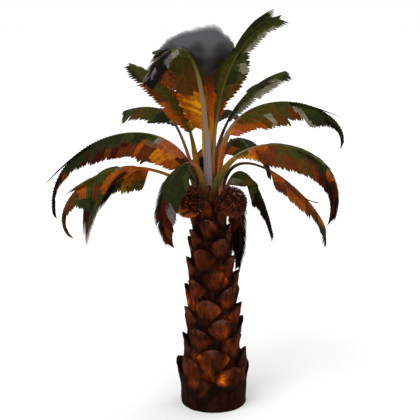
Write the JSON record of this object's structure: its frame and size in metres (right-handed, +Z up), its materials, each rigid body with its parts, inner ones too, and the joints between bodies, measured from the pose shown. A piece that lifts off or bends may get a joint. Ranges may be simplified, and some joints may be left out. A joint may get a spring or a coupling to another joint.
{
  "type": "burned oil palm",
  "caption": "A rooted oil palm scorched by fire: a stout trunk clad in old frond-base stubs, fruit bunches at the neck, and a crown of arching, torn and charred fronds.",
  "frame": {"origin": "middle of the flat cut under the trunk, at ground level", "axes": "+Z up, along the trunk; +X to the right and +Y away from the viewer as the picture sees the palm"},
  "size_m": [4.4208, 3.0951, 5.9711],
  "materials": {
    "trunk_bark": "rough, charred fibre with ember-coloured edges",
    "fruit": "knobbly, scorched, slightly waxy",
    "frond": "leathery leaf, scorched orange to black at the ends"
  },
  "bodies": {
    "root": {"trunk": "trunk_bark", "fruit_bunch_left": "fruit", "fruit_bunch_right": "fruit", "fruit_bunch_back": "fruit", "frond_upright_right": "frond", "frond_upright_right_end": "frond", "frond_folded_left": "frond", "frond_folded_left_end": "frond", "frond_upper_left": "frond", "frond_upper_left_end": "frond", "frond_back_left": "frond", "frond_back_left_end": "frond", "frond_long_left": "frond", "frond_long_left_end": "frond", "frond_low_left": "frond", "frond_low_left_end": "frond", "frond_front_left": "frond", "frond_front_left_end": "frond", "frond_drooping_right": "frond", "frond_drooping_right_end": "frond", "frond_hanging_back": "frond", "frond_hanging_back_end": "frond", "frond_long_right": "frond", "frond_long_right_end": "frond", "frond_high_right": "frond", "frond_high_right_end": "frond", "frond_upper_right": "frond", "frond_upper_right_end": "frond", "frond_upper_back": "frond", "frond_upper_back_end": "frond", "frond_torn_right": "frond", "frond_torn_right_end": "frond", "frond_burned_right": "frond", "frond_burned_right_end": "frond", "frond_back": "frond", "frond_back_end": "frond", "frond_low_back_left": "frond", "frond_low_back_left_end": "frond", "frond_mid_back_left": "frond", "frond_mid_back_left_end": "frond"}
  },
  "joints": []
}
